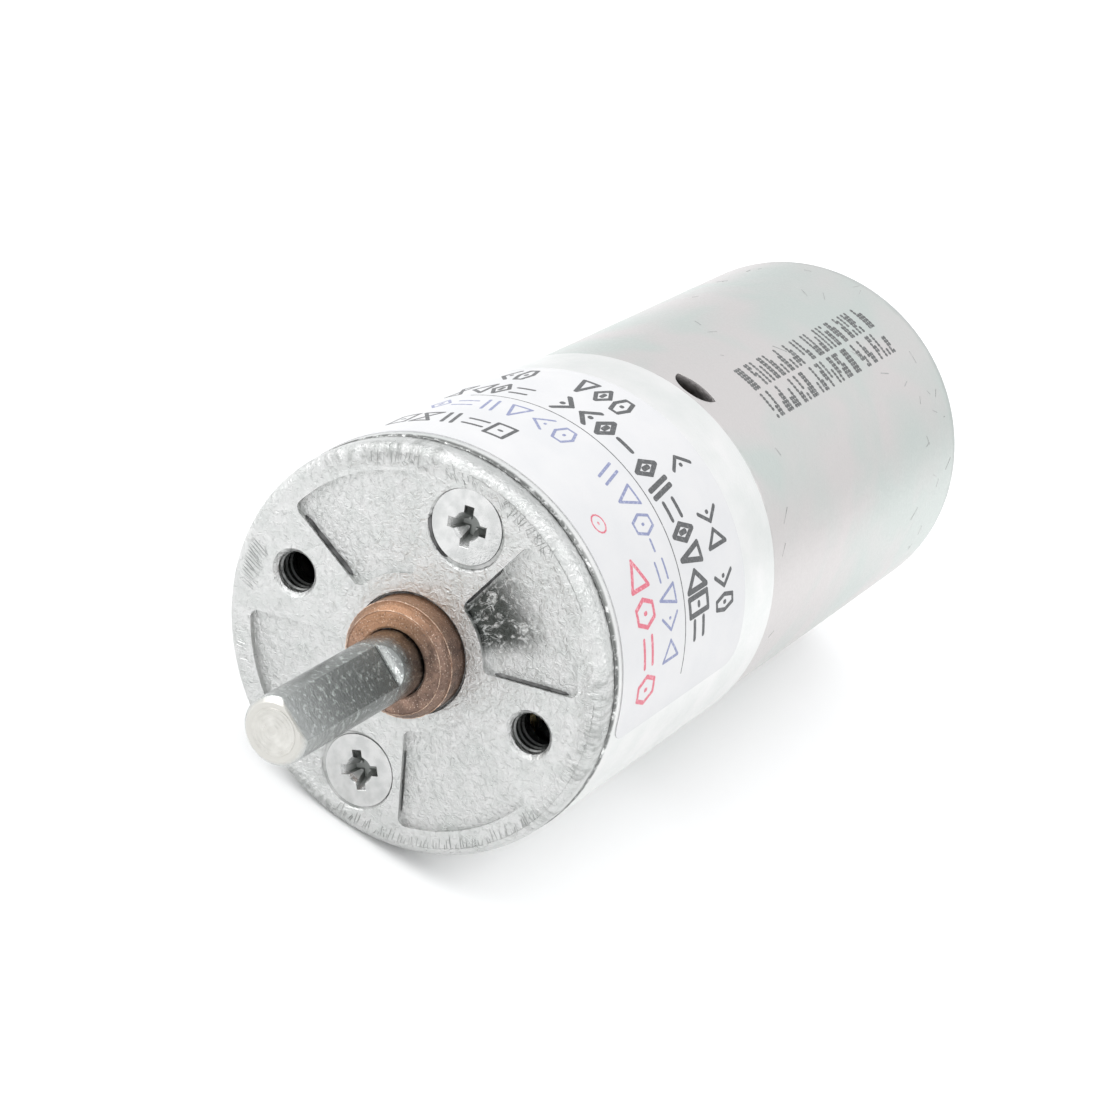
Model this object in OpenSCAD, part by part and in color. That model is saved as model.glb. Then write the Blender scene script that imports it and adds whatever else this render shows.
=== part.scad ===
// Geared DC motor: a brushed motor in a drawn steel can behind a round spur gearbox.
// Every piece is drawn with the output shaft along +Z and the mounting face at z = 0, so a
// depth behind that face is a negative z. lay_down() then turns the shaft to point along -Y.
// Angles are measured about the shaft, from +X (the line through the mounting holes) to +Z.

/* [Gear case and front plate] */
// Outside diameter of the gear case
case_d = 24.9; // [24.6:0.1:25.4]
// Depth of the gearbox, from its mounting face to the motor
case_len = 23; // [22.6:0.1:24]
// Thickness of the front plate's rim, seen outside the case
rim_t = 1.5; // [1.2:0.1:1.8]
// Thickness of the front plate inside the case
plate_t = 2.5; // [2.4:0.1:2.6]
// Radius of the front plate's rounded edge
rim_round = 0.6; // [0.4:0.1:1]
// Depth of the four cast pockets in the mounting face
pocket_depth = 0.35; // [0.2:0.05:0.5]
// Half the angle that a pocket covers
pocket_half_angle = 25; // [20:1:27]

/* [Mounting] */
// Distance between the two tapped mounting holes
mount_spacing = 17; // [16:0.5:17.5]
// Diameter of the tapped mounting holes at the crest of their thread
mount_hole_d = 2.5; // [2.4:0.05:2.7]
// Distance of the cover screws from the shaft's axis
screw_radius = 8.7; // [8.6:0.1:8.9]
// Diameter of a cover screw's countersunk head
screw_head_d = 4.5; // [4.2:0.1:4.8]

/* [Output shaft] */
// Diameter of the output shaft
shaft_d = 4; // [3.8:0.1:4.1]
// Distance from the mounting face to the tip of the shaft
shaft_out = 14.5; // [12:0.5:20]
// Length of the flat on the shaft
flat_len = 9.8; // [6:0.2:9.8]
// Distance across the shaft at the flat
flat_across = 3.5; // [3.4:0.1:3.7]
// Direction that the flat faces, about the shaft
flat_angle = 60; // [0:5:355]
// Outside diameter of the bush that carries the shaft
bush_d = 7; // [6.6:0.1:7.2]
// Height of the bush in front of the mounting face
bush_out = 1.95; // [1.5:0.05:2.6]

/* [Gear train] */
// Module of every gear: pitch diameter over number of teeth
gear_module = 0.4; // [0.39:0.005:0.4]
// Tooth pressure angle
pressure_angle = 25; // [24:0.5:26]
// Gap at the pitch circle between meshed teeth
backlash = 0.1; // [0.08:0.01:0.14]

/* [Motor] */
// Outside diameter of the motor can
can_d = 24.4; // [24:0.1:24.6]
// Length of the motor can
can_len = 32; // [31.6:0.1:33]
// Wall thickness of the motor can
can_wall = 0.8; // [0.6:0.05:0.9]
// Number of poles on the armature
poles = 5; // [3:2:5]

/* [Label] */
// Thickness of the paper label
label_t = 0.06; // [0.05:0.01:0.1]
// Half the angle that the label covers
label_half_angle = 84.6; // [70:0.2:90]

/* [Hidden] */
$fn = 96;

cut = 1;            // how far a cutter runs past the face that it cuts
seat = 0.01;        // radial gap where one fixed piece sits in another
running = 0.03;     // radial gap of a shaft or gear that turns
case_r = case_d / 2;
case_wall = 1.05;
case_bore_r = case_r - case_wall;
rear_wall_t = 2;
seam_round = 0.3;   // rounded edge of the case where the front plate meets it
rear_wall_at = case_len - rear_wall_t;
mount_r = mount_spacing / 2;

// Pockets in the mounting face, one between each hole and its neighbouring screw
pocket_in_r = 4.75;
pocket_out_r = 10.8;
pocket_corner_r = 0.5;
pocket_angles = [45, 135, 225, 315];

// Screws: M2.5 with a 90 degree countersunk head and a cross recess
screw_r = 1.2;
screw_hole_r = screw_r + 0.08;
head_r = screw_head_d / 2;
mouth_r = head_r + 0.22;
screw_angles = [90, 270];
screw_shifts = [[0.2, 0.05], [-0.09, 0.13]];  // where each sits in its countersink
screw_turns = [16, 32];
cover_screw_len = 9;
motor_screw_len = 3.5;
motor_screw_radius = 8;
motor_screw_angles = [0, 180];
post_r = 2.6;
post_front = plate_t + seat;

// Gear train: stage i has a pinion that drives a wheel. The motor pinion and the output gear
// turn about the shaft's axis, and the five double gears turn on two fixed pins, in turn.
pinion_teeth = [10, 10, 10, 10, 10, 11];
wheel_teeth = [22, 22, 22, 22, 22, 21];
addendum = 0.85 * gear_module;
dedendum = 1.1 * gear_module;
flank_points = 7;
centre_distance = (pinion_teeth[0] + wheel_teeth[0]) * gear_module / 2;
pin_r = 1;
pin_angles = [30, -30];
pin_depth = 1;
layer_pitch = 3;
wheel_t = 1.8;
gear_gap = 0.15;
stack_back = rear_wall_at - 0.2;
function pin_at(i) = centre_distance * [cos(pin_angles[i]), sin(pin_angles[i])];
// Centre of gear cluster i: 0 is the motor pinion, 1 to 5 are the double gears, 6 the output
function cluster_at(i) = (i == 0 || i == 6) ? [0, 0] : pin_at((i + 1) % 2);
function heading(a, b) = atan2(b[1] - a[1], b[0] - a[0]);
// Angle of cluster i that puts its wheel in mesh with the pinion of the cluster before it
function phase(i) = i == 0 ? 0 :
    let (line = heading(cluster_at(i - 1), cluster_at(i)),
         z_p = pinion_teeth[i - 1],
         z_w = wheel_teeth[i - 1])
    line + 180 - 180 / z_w - (phase(i - 1) - line) * z_p / z_w;
// Depth of the rear of gear layer i, counted from the motor
function layer_back(i) = stack_back - (i - 1) * layer_pitch;

// Motor
can_r = can_d / 2;
can_bore_r = can_r - can_wall;
can_back = case_len + can_len;
can_front_round = 0.7;
can_rear_round = 1.1;
can_lip_r = can_bore_r - 0.8;
boss_r = 3.4;
boss_front = rear_wall_at + 0.2;
bearing_front = boss_front + 0.1;
bearing_r = 2.4;
bearing_len = 2.4;
motor_shaft_r = 1;
shaft_front = layer_back(1) - 2.4;
plate_back = can_back - can_wall;
plate_front = plate_back - 1;
end_boss_back = plate_back + 1.8;
shaft_back = end_boss_back + 0.3;
vent_angle = 86;
vent_r = 1.5;
vent_at = case_len + 2.3;
vent_back_arc_r = 4;
magnet_in_r = 8.65;
magnet_half_angle = 70;
magnet_front = case_len + 4;
magnet_back = magnet_front + 19;
core_r = 8.2;
core_front = magnet_front + 2;
core_back = magnet_back - 3;
insulator_t = 0.5;
hub_r = 2.6;
arm_w = 1.8;
shoe_t = 1;
shoe_gap_angle = 14;
coil_overhang = 1.4;
commutator_r = 3;
commutator_hub_r = 2.3;
commutator_front = core_back + 3;
commutator_back = commutator_front + 5;
segment_gap = 0.35;
brush_gap = 0.05;
brush_at = commutator_front + 3;
brush_size = [1.8, 2, 1.6];
spring_t = 0.2;
holder_front = plate_front - 2.6;
terminal_x = 7;
terminal_w = 2;
terminal_t = 0.4;
terminal_back = can_back + 4;
terminal_hole_r = 0.5;

// Label
label_front = 2.3;
label_back = 18.6;
label_angle = 90;

zinc = "lightsteelblue";
steel = "silver";
bronze = "peru";

// Turns a piece from the drawing position to the way the motor lies, shaft towards -Y
module lay_down() {
    rotate([90, 0, 0]) children();
}

// A solid cylinder between two depths
module disc(r, front, back) {
    translate([0, 0, -back]) cylinder(r = r, h = back - front);
}

// A round tube between two depths
module tube(r, bore, front, back) {
    difference() {
        disc(r, front, back);
        disc(bore, front - cut, back + cut);
    }
}

// A flat outline extruded between two depths
module slab(front, back) {
    translate([0, 0, -back]) linear_extrude(back - front) children();
}

// Copies at a radius and a list of angles, each turned to face outwards
module around(angles, r) {
    for (a = angles) rotate([0, 0, a]) translate([r, 0, 0]) children();
}

// A wedge with its tip on the axis, half_angle (under 90) each side of +X
module wedge(half_angle, r) {
    far = r * 1.5;
    polygon([[0, 0], [far * cos(half_angle), -far * sin(half_angle)], [far * 1.5, 0],
             [far * cos(half_angle), far * sin(half_angle)]]);
}

// A part of a flat ring, half_angle each side of +X
module ring_sector(inner, outer, half_angle) {
    intersection() {
        difference() {
            circle(outer);
            circle(inner);
        }
        wedge(half_angle, outer);
    }
}

// Points of an arc, from one angle to another, leaving out `skip` of them at each end
function arc(centre, r, from, to, steps, skip = 0) =
    [for (i = [skip : steps - skip]) let (a = from + (to - from) * i / steps)
        centre + r * [cos(a), sin(a)]];

// A ring sector whose four corners are rounded
module rounded_sector(inner, outer, half_angle, corner) {
    in_centre = inner + corner;
    out_centre = outer - corner;
    in_a = half_angle - asin(corner / in_centre);
    out_a = half_angle - asin(corner / out_centre);
    polygon(concat(
        arc([0, 0], outer, -out_a, out_a, 24, 1),
        arc(out_centre * [cos(out_a), sin(out_a)], corner, out_a, half_angle + 90, 6),
        arc(in_centre * [cos(in_a), sin(in_a)], corner, half_angle + 90, in_a + 180, 6),
        arc([0, 0], inner, in_a, -in_a, 12, 1),
        arc(in_centre * [cos(in_a), -sin(in_a)], corner, 180 - in_a, 270 - half_angle, 6),
        arc(out_centre * [cos(out_a), -sin(out_a)], corner, 270 - half_angle, 360 - out_a, 6)));
}

// Half of a disc's section, with its outer edges rounded at the front and at the back
module edge_section(r, front, back, front_round, back_round) {
    translate([0, -back]) square([r - max(front_round, back_round), back - front]);
    translate([0, -back + back_round]) square([r, back - front - front_round - back_round]);
    if (front_round > 0) intersection() {
        translate([0, -front - front_round]) square([r, front_round]);
        union() {
            translate([r - front_round, -front - front_round]) circle(front_round);
            square([2 * (r - front_round), 2 * back], center = true);
        }
    }
    if (back_round > 0) intersection() {
        translate([0, -back]) square([r, back_round]);
        union() {
            translate([r - back_round, -back + back_round]) circle(back_round);
            square([2 * (r - back_round), 4 * back], center = true);
        }
    }
}

// A solid disc with rounded outer edges
module rounded_disc(r, front, back, front_round, back_round) {
    rotate_extrude() edge_section(r, front, back, front_round, back_round);
}

// Involute gear outline
function involute_turn(a) = tan(a) * 180 / PI - a;
function tooth_half_angle(teeth, r) =
    let (pitch_r = teeth * gear_module / 2,
         base_r = pitch_r * cos(pressure_angle),
         at_pitch = 90 / teeth - backlash / 4 / pitch_r * 180 / PI)
    at_pitch + involute_turn(pressure_angle) - (r > base_r ? involute_turn(acos(base_r / r)) : 0);
function gear_points(teeth) =
    let (pitch_r = teeth * gear_module / 2,
         root_r = pitch_r - dedendum,
         tip_r = pitch_r + addendum,
         start_r = max(root_r, pitch_r * cos(pressure_angle)),
         rising = [for (i = [0 : flank_points]) start_r + (tip_r - start_r) * i / flank_points],
         radii = concat([root_r], rising))
    [for (tooth = [0 : teeth - 1], side = [-1, 1], i = [0 : len(radii) - 1])
        let (r = radii[side < 0 ? i : len(radii) - 1 - i],
             a = tooth * 360 / teeth + side * tooth_half_angle(teeth, r))
        [r * cos(a), r * sin(a)]];

// A spur gear between two depths, turned to its place in the mesh
module gear(teeth, turn, front, back) {
    slab(front, back) rotate(turn) polygon(gear_points(teeth));
}

// Double gear i of the train: a wheel at the back and a pinion in front of it
module double_gear(i) {
    back = layer_back(i);
    front = back - 2 * layer_pitch + gear_gap;
    translate(concat(cluster_at(i), 0)) difference() {
        union() {
            gear(wheel_teeth[i - 1], phase(i), back - wheel_t, back);
            gear(pinion_teeth[i], phase(i), front, back - wheel_t / 2);
        }
        disc(pin_r + running, front - cut, back + cut);
    }
}

// A countersunk screw whose head is flush at the given depth, with a cross recess
module countersunk_screw(head_at, length) {
    recess_depth = 0.9;
    difference() {
        union() {
            disc(screw_r, head_at + head_r - screw_r, head_at + length);
            translate([0, 0, -head_at - head_r + screw_r])
                cylinder(r1 = screw_r, r2 = head_r, h = head_r - screw_r);
        }
        translate([0, 0, -head_at]) mirror([0, 0, 1])
            linear_extrude(recess_depth, scale = 0.55)
                for (a = [0, 90]) rotate(a) square([2.5, 0.62], center = true);
        translate([0, 0, -head_at - recess_depth + cut / 8])
            cylinder(r1 = 0.4, r2 = 0.95, h = recess_depth);
    }
}

// A conical seat for a screw head, in a face at the given depth
module countersink(face_at, mouth) {
    depth = mouth - screw_r;
    translate([0, 0, -face_at - depth])
        cylinder(r1 = screw_r, r2 = mouth + cut, h = depth + cut);
}

// Puts a piece at cover screw i
module at_cover_screw(i) {
    around([screw_angles[i]], screw_radius) translate(screw_shifts[i]) children();
}

// A tapped mounting hole, bored to the crest of its thread, with a chamfered mouth
module tapped_hole(back) {
    chamfer = 0.25;
    disc(mount_hole_d / 2, 0, back + cut);
    translate([0, 0, -chamfer])
        cylinder(r1 = mount_hole_d / 2, r2 = mount_hole_d / 2 + chamfer + cut, h = chamfer + cut);
}

module front_plate() {
    color(zinc) difference() {
        union() {
            rounded_disc(case_r - 0.05, 0, rim_t - 0.03, rim_round, seam_round / 2);
            disc(case_bore_r - seat, rim_t - 0.1, plate_t);
        }
        for (a = pocket_angles) rotate(a) slab(-cut, pocket_depth)
            rounded_sector(pocket_in_r, pocket_out_r, pocket_half_angle, pocket_corner_r);
        disc(bush_d / 2 + seat, -cut, plate_t + cut);
        disc(bush_d / 2 + 0.2, -cut, 0.5);
        around([0, 180], mount_r) tapped_hole(plate_t);
        around(screw_angles, screw_radius) countersink(0, mouth_r);
        for (i = [0, 1]) at_cover_screw(i) disc(screw_hole_r, 0, plate_t + cut);
        for (i = [0, 1]) translate(concat(pin_at(i), 0))
            disc(pin_r + seat, plate_t - pin_depth, plate_t + cut);
    }
}

module gear_case() {
    color(zinc) difference() {
        union() {
            difference() {
                rounded_disc(case_r, rim_t, case_len, seam_round, 0);
                disc(case_bore_r, 0, rear_wall_at);
            }
            for (a = screw_angles) rotate([0, 0, a]) slab(post_front, rear_wall_at + cut / 2) {
                translate([screw_radius, 0]) circle(post_r);
                intersection() {
                    circle(case_bore_r + 0.1);
                    translate([screw_radius, -post_r]) square(2 * post_r);
                }
            }
        }
        for (i = [0, 1]) at_cover_screw(i) disc(screw_hole_r, 0, cover_screw_len + 1);
        around(motor_screw_angles, motor_screw_radius) {
            countersink(rear_wall_at, head_r + 0.08);
            disc(screw_hole_r, rear_wall_at, case_len + cut);
        }
        disc(boss_r + seat, rear_wall_at - cut, case_len + cut);
        for (i = [0, 1]) translate(concat(pin_at(i), 0))
            disc(pin_r + seat, rear_wall_at - cut, rear_wall_at + pin_depth);
    }
}

module output_bush() {
    chamfer = 0.4;
    chamfer_len = 0.65;
    color(bronze) difference() {
        union() {
            disc(bush_d / 2, chamfer_len - bush_out, plate_t + 0.5);
            translate([0, 0, bush_out - chamfer_len])
                cylinder(r1 = bush_d / 2, r2 = bush_d / 2 - chamfer, h = chamfer_len);
        }
        disc(shaft_d / 2 + running, -bush_out - cut, plate_t + cut);
    }
}

// The output shaft: ground a little smaller along its flat, which ends in a round run-out, and
// with an oil groove just inside the bush
module output_shaft() {
    chamfer = 0.3;
    run_out = 0.9;
    groove_depth = 0.2;
    groove_front = 0.1 - bush_out;
    groove_back = groove_front + 0.8;
    shaft_r = shaft_d / 2;
    tip_r = shaft_r - 0.01;
    flat_at = flat_across - shaft_r;
    flat_back = flat_len - shaft_out;
    color(steel) {
        difference() {
            union() {
                disc(tip_r, chamfer - shaft_out, flat_back);
                translate([0, 0, shaft_out - chamfer])
                    cylinder(r1 = tip_r, r2 = tip_r - chamfer, h = chamfer);
            }
            rotate([0, 0, flat_angle]) translate([flat_at, -shaft_r, -flat_back - cut])
                cube([shaft_r, 2 * shaft_r, flat_len + 2 * cut]);
        }
        difference() {
            disc(shaft_r, flat_back, layer_back(6) + 0.5);
            tube(shaft_r + cut, shaft_r - groove_depth, groove_front, groove_back);
            rotate([0, 0, flat_angle]) translate([flat_at + run_out, 0, -flat_back])
                rotate([90, 0, 0]) cylinder(r = run_out, h = 2 * shaft_r, center = true);
        }
    }
}

module thrust_washer() {
    color(steel) tube(bush_d / 2, shaft_d / 2 + seat, plate_t + 0.56, plate_t + 0.96);
}

module output_gear() {
    back = layer_back(6);
    color(bronze) difference() {
        union() {
            gear(wheel_teeth[5], phase(6), back - wheel_t, back);
            disc(2.9, plate_t + 1, back);
        }
        disc(shaft_d / 2 + seat, 0, back + cut);
    }
}

module reduction_gear(i) {
    color(i % 2 == 0 ? bronze : steel) double_gear(i);
}

module gear_pins() {
    color(steel) for (i = [0, 1]) translate(concat(pin_at(i), 0))
        disc(pin_r, plate_t - pin_depth + 0.05, rear_wall_at + pin_depth - 0.05);
}

// Sleeves that fill the second pin where it carries no gear
module pin_spacers() {
    sleeve_r = 1.5;
    color(bronze) translate(concat(pin_at(1), 0)) {
        tube(sleeve_r, pin_r + seat, layer_back(2) + 0.05, stack_back);
        tube(sleeve_r, pin_r + seat, plate_t + 0.1, layer_back(6));
    }
}

module cover_screws() {
    color("gainsboro") for (i = [0, 1]) at_cover_screw(i)
        rotate(screw_turns[i]) countersunk_screw(0.02, cover_screw_len);
}

module motor_screws() {
    color("gainsboro") around(motor_screw_angles, motor_screw_radius)
        countersunk_screw(rear_wall_at + 0.02, motor_screw_len);
}

module motor_pinion() {
    back = boss_front - 0.1;
    color("gold") difference() {
        gear(pinion_teeth[0], phase(0), back - 2.6, back);
        disc(motor_shaft_r + seat, 0, back + cut);
    }
}

module motor_can() {
    face_back = case_len + can_wall;
    color(steel) difference() {
        union() {
            rounded_disc(can_r, case_len, can_back, can_front_round, can_rear_round);
            disc(boss_r, boss_front, face_back);
        }
        disc(can_bore_r, face_back, plate_back);
        disc(can_lip_r, face_back, can_back + cut);
        disc(bearing_r + seat, boss_front - cut, can_back);
        around(motor_screw_angles, motor_screw_radius) disc(screw_hole_r, 0, face_back + cut);
        for (a = [vent_angle, vent_angle + 180]) rotate([0, 0, a])
            translate([can_bore_r - cut, 0, 0]) rotate([0, 90, 0])
                linear_extrude(can_wall + 2 * cut) intersection() {
                    translate([vent_at, 0]) circle(vent_r);
                    translate([vent_at + 0.3 - vent_back_arc_r, 0]) circle(vent_back_arc_r);
                }
    }
}

module field_magnets() {
    color("dimgray") for (a = [0, 180]) rotate([0, 0, a]) slab(magnet_front, magnet_back)
        ring_sector(magnet_in_r, can_bore_r - seat, magnet_half_angle);
}

// Spring strips that press the two magnets apart against the can
module magnet_springs() {
    color(steel) for (a = [90, 270]) rotate([0, 0, a]) slab(magnet_front + 2, magnet_back - 2)
        ring_sector(can_bore_r - 0.6, can_bore_r - 0.2, 90 - magnet_half_angle - 0.5);
}

module front_bearing() {
    color(bronze)
        tube(bearing_r, motor_shaft_r + running, bearing_front, bearing_front + bearing_len);
}

module motor_shaft() {
    color(steel) disc(motor_shaft_r, shaft_front, shaft_back);
}

// Outline of one stamped plate of the armature, without its shaft hole
module pole_star() {
    circle(hub_r);
    for (p = [0 : poles - 1]) rotate(p * 360 / poles) {
        translate([0, -arm_w / 2]) square([core_r - shoe_t / 2, arm_w]);
        ring_sector(core_r - shoe_t, core_r, (360 / poles - shoe_gap_angle) / 2);
    }
}

module armature_core() {
    color("slategray") slab(core_front, core_back) difference() {
        pole_star();
        circle(motor_shaft_r + seat);
    }
}

module armature_insulators() {
    color("seagreen") for (front = [core_front - insulator_t, core_back])
        slab(front, front + insulator_t) difference() {
            pole_star();
            circle(motor_shaft_r + seat);
        }
}

module armature_windings() {
    bottom_r = hub_r + 0.4;
    top_r = core_r - shoe_t - 0.1;
    lean = 0.86 * tan(min(36, 180 / poles));
    top_lean = 0.75 * lean;
    color("chocolate") for (p = [0 : poles - 1]) rotate([0, 0, p * 360 / poles]) difference() {
        slab(core_front - insulator_t - coil_overhang, core_back + insulator_t + coil_overhang)
            intersection() {
                circle(top_r);
                polygon([[bottom_r, -bottom_r * lean], [top_r, -top_r * top_lean],
                         [top_r, top_r * top_lean], [bottom_r, bottom_r * lean]]);
            }
        slab(core_front - insulator_t - seat, core_back + insulator_t + seat)
            translate([0, -arm_w / 2 - seat]) square([core_r, arm_w + 2 * seat]);
    }
}

module commutator_hub() {
    color("saddlebrown") difference() {
        union() {
            disc(commutator_hub_r, commutator_front, commutator_back);
            disc(commutator_r, commutator_front - 0.8, commutator_front);
        }
        disc(motor_shaft_r + seat, 0, commutator_back + cut);
    }
}

module commutator_segments() {
    segment_half_angle = 180 / poles - segment_gap / commutator_r * 90 / PI;
    color("orangered") for (p = [0 : poles - 1]) rotate([0, 0, (p + 0.5) * 360 / poles])
        slab(commutator_front, commutator_back)
            ring_sector(commutator_hub_r + seat, commutator_r, segment_half_angle);
}

// Ring that quenches sparks between the segments
module varistor_ring() {
    front = commutator_front + 0.1;
    color("darkslategray") tube(commutator_r + 1.1, commutator_r + seat, front, front + 1.2);
}

module rotor_washers() {
    washer_r = 1.7;
    bearing_back = bearing_front + bearing_len;
    color("ivory") {
        tube(washer_r, motor_shaft_r + seat, bearing_back + 0.15, bearing_back + 0.45);
        tube(washer_r, motor_shaft_r + seat, commutator_back + 0.1, commutator_back + 0.5);
    }
}

module brush_holder() {
    color("whitesmoke") difference() {
        union() {
            disc(can_bore_r - seat, holder_front, plate_front);
            for (side = [-1, 1]) translate([side * 6.2 - 0.9, -2, -holder_front])
                cube([1.8, 4, 3]);
        }
        disc(commutator_r + 1.6, 0, can_back);
        for (side = [-1, 1]) translate([side * terminal_x - terminal_t / 2 - seat, 0, 0])
            slab(0, can_back) translate([0, -terminal_w / 2 - seat])
                square([terminal_t + 2 * seat, terminal_w + 2 * seat]);
        for (side = [-1, 1])
            translate([side * (commutator_r + brush_gap + brush_size[0] + spring_t), 0, 0])
                slab(0, can_back) square([2 * spring_t + 0.1, terminal_w + 0.5], center = true);
    }
}

// Leaf springs that carry the brushes
module brush_springs() {
    inner_x = commutator_r + brush_gap + brush_size[0];
    color(bronze) for (side = [-1, 1]) scale([side, 1, 1])
        translate([inner_x, -terminal_w / 2, -plate_front + 0.2])
            cube([spring_t, terminal_w, plate_front - 0.2 - brush_at + brush_size[2] / 2]);
}

module carbon_brushes() {
    inner_x = commutator_r + brush_gap;
    color("black") for (side = [-1, 1])
        translate([side * (inner_x + brush_size[0] / 2), 0, -brush_at])
            cube([brush_size[0], brush_size[1], brush_size[2]], center = true);
}

// Solder tabs that stand out behind the motor, each with a hole for the wire
module terminals() {
    color("gold") for (side = [-1, 1]) translate([side * terminal_x, 0, 0]) difference() {
        translate([-terminal_t / 2, -terminal_w / 2, -terminal_back])
            cube([terminal_t, terminal_w, terminal_back - holder_front]);
        translate([0, 0, -terminal_back + 1.2]) rotate([0, 90, 0])
            cylinder(r = terminal_hole_r, h = 2, center = true);
    }
}

module rear_bearing() {
    back = end_boss_back - 0.1;
    color(bronze) tube(bearing_r, motor_shaft_r + running, back + 0.1 - bearing_len, back);
}

module end_plate() {
    slot_x = terminal_t / 2 + 0.5;
    slot_y = terminal_w / 2 + 0.6;
    color(steel) difference() {
        union() {
            disc(can_bore_r - seat, plate_front + seat, plate_back);
            rounded_disc(bearing_r + 0.9, plate_front + seat, end_boss_back, 0, 0.4);
        }
        disc(bearing_r + seat, 0, end_boss_back - 0.1);
        disc(motor_shaft_r + 0.5, 0, end_boss_back + cut);
        for (side = [-1, 1]) translate([side * terminal_x, 0, 0]) slab(0, can_back)
            square([2 * slot_x, 2 * slot_y], center = true);
    }
}

// Paper label wrapped round the gear case, centred over the upper cover screw
module ratings_label() {
    color("white") rotate([0, 0, label_angle]) slab(label_front, label_back)
        ring_sector(case_r, case_r + label_t, label_half_angle);
}

lay_down() front_plate();
lay_down() gear_case();
lay_down() output_bush();
lay_down() output_shaft();
lay_down() thrust_washer();
lay_down() output_gear();
lay_down() reduction_gear(1);  // reduction_gear_1
lay_down() reduction_gear(2);  // reduction_gear_2
lay_down() reduction_gear(3);  // reduction_gear_3
lay_down() reduction_gear(4);  // reduction_gear_4
lay_down() reduction_gear(5);  // reduction_gear_5
lay_down() gear_pins();
lay_down() pin_spacers();
lay_down() cover_screws();
lay_down() motor_screws();
lay_down() motor_pinion();
lay_down() motor_can();
lay_down() field_magnets();
lay_down() magnet_springs();
lay_down() front_bearing();
lay_down() motor_shaft();
lay_down() armature_core();
lay_down() armature_insulators();
lay_down() armature_windings();
lay_down() commutator_hub();
lay_down() commutator_segments();
lay_down() varistor_ring();
lay_down() rotor_washers();
lay_down() brush_holder();
lay_down() brush_springs();
lay_down() carbon_brushes();
lay_down() terminals();
lay_down() rear_bearing();
lay_down() end_plate();
lay_down() ratings_label();
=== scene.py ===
import math
import random

import bmesh
import bpy
from mathutils import Matrix, Vector


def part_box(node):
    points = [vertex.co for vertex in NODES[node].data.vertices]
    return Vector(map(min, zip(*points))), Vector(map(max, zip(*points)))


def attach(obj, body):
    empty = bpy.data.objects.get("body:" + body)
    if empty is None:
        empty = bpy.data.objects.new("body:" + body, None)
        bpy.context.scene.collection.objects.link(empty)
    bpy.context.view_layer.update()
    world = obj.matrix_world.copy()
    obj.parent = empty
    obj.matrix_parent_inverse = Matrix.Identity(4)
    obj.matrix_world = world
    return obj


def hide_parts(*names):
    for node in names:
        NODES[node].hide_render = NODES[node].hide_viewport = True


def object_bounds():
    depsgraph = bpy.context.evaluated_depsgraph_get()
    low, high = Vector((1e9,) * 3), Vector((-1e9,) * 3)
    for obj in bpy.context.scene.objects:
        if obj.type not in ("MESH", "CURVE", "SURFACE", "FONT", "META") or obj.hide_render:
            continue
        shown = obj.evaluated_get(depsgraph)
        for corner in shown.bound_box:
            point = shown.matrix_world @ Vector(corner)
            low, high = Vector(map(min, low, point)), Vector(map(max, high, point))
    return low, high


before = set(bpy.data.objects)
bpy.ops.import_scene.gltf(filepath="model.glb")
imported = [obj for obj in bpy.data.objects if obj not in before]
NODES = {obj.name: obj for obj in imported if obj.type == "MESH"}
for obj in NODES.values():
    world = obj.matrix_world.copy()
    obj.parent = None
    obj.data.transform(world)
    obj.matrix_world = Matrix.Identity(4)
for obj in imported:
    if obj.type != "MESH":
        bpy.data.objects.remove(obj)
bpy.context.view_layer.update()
MM = 0.001

# Sizes taken from the frame, in metres
CASE_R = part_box("gear_case")[1].x
CAN_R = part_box("motor_can")[1].x
CAN_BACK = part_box("motor_can")[1].y
CASE_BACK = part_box("gear_case")[1].y / MM
LABEL_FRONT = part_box("ratings_label")[0].y
LABEL_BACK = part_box("ratings_label")[1].y
LABEL_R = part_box("ratings_label")[1].z
BUSH_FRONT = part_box("output_bush")[0].y
SHAFT_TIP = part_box("output_shaft")[0].y
FLOOR_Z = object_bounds()[0].z
MOUNT_X = 8.5 * MM


# ---------------------------------------------------------------- material building

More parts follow.
